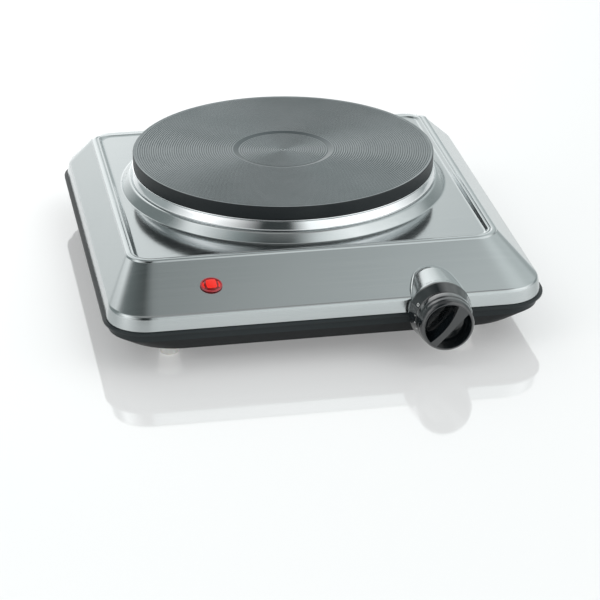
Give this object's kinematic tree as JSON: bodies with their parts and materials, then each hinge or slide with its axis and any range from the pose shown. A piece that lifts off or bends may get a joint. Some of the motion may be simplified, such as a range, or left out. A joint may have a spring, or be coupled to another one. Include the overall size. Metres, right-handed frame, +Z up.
{
  "type": "hot plate burner",
  "caption": "Table-top electric hot plate: round cast iron plate in a chrome ring on a stepped steel housing with sloping front, thermostat knob, red indicator and small feet.",
  "frame": {"origin": "on the table, below the centre of the part's bounding box", "axes": "+Z up, -Y towards the knob and the user, +X to the user's right"},
  "size_m": [0.2498, 0.292, 0.064],
  "materials": {
    "cast_iron": "turned, grey",
    "heater": "oxidised resistance wire",
    "magnesia": "pressed powder",
    "galvanised": "zinc plated",
    "ceramic": "unglazed",
    "brass": "plain",
    "steel": "plain",
    "aluminium": "mill finish",
    "chrome": "polished",
    "stainless": "satin stainless",
    "black_base": "moulded, satin black",
    "white_feet": "moulded, white",
    "knob_black": "gloss black",
    "red_lens": "clear red",
    "lamp_glass": "clear",
    "gland_black": "moulded",
    "ivory_plastic": "moulded",
    "wire_brown": "silicone",
    "wire_black": "silicone",
    "wire_blue": "silicone",
    "wire_green": "silicone",
    "wire_white": "silicone"
  },
  "bodies": {
    "housing": {"cast_iron_plate": "cast_iron", "heating_coils": "heater", "magnesia_filling": "magnesia", "element_cover": "galvanised", "element_terminals": "ceramic", "terminal_pins": "brass", "mounting_stud": "steel", "clamp_bar": "galvanised", "clamp_washer": "steel", "clamp_nut": "steel", "heat_shield": "aluminium", "spill_ring": "chrome", "top_housing": "stainless", "base_tray": "black_base", "foot_front_left": "white_feet", "foot_front_right": "white_feet", "foot_rear_left": "white_feet", "foot_rear_right": "white_feet", "foot_screws": "steel", "joining_posts": "galvanised", "base_screws": "steel", "thermostat_bush": "brass", "bush_nut": "brass", "thermostat_bracket": "galvanised", "stack_insulators": "ceramic", "stack_rivet": "steel", "moving_contact": "brass", "fixed_contact": "brass", "bimetal_strip": "steel", "indicator_lens": "red_lens", "neon_lamp": "lamp_glass", "lamp_clip": "steel", "cord_gland": "gland_black", "gland_nut": "gland_black", "clamp_jaws": "ivory_plastic", "jaw_screws": "steel", "mains_block": "ivory_plastic", "block_screws": "brass", "earth_tag": "brass", "earth_screw": "brass", "live_wire": "wire_brown", "switched_wire": "wire_black", "neutral_wire": "wire_blue", "earth_wire": "wire_green", "lamp_wires": "wire_white"},
    "knob": {"knob_grip": "knob_black", "knob_collar": "knob_black", "knob_clip": "steel", "thermostat_shaft": "steel", "shaft_circlip": "steel"},
    "pin": {"push_pin": "ceramic"}
  },
  "joints": [
    {"name": "knob_turn", "type": "hinge", "parent": "housing", "child": "knob", "pos_m": [0.0596, -0.134, 0.0259], "axis": [0, 1, 0], "range_deg": [0, 270]},
    {"name": "pin_slide", "type": "slide", "parent": "housing", "child": "pin", "axis": [0, 1, 0], "range_m": [0, 0.0005]}
  ],
  "couplings": [
    {"joint": "pin_slide", "follows": "knob_turn", "m_per_rad": 0.000106}
  ]
}
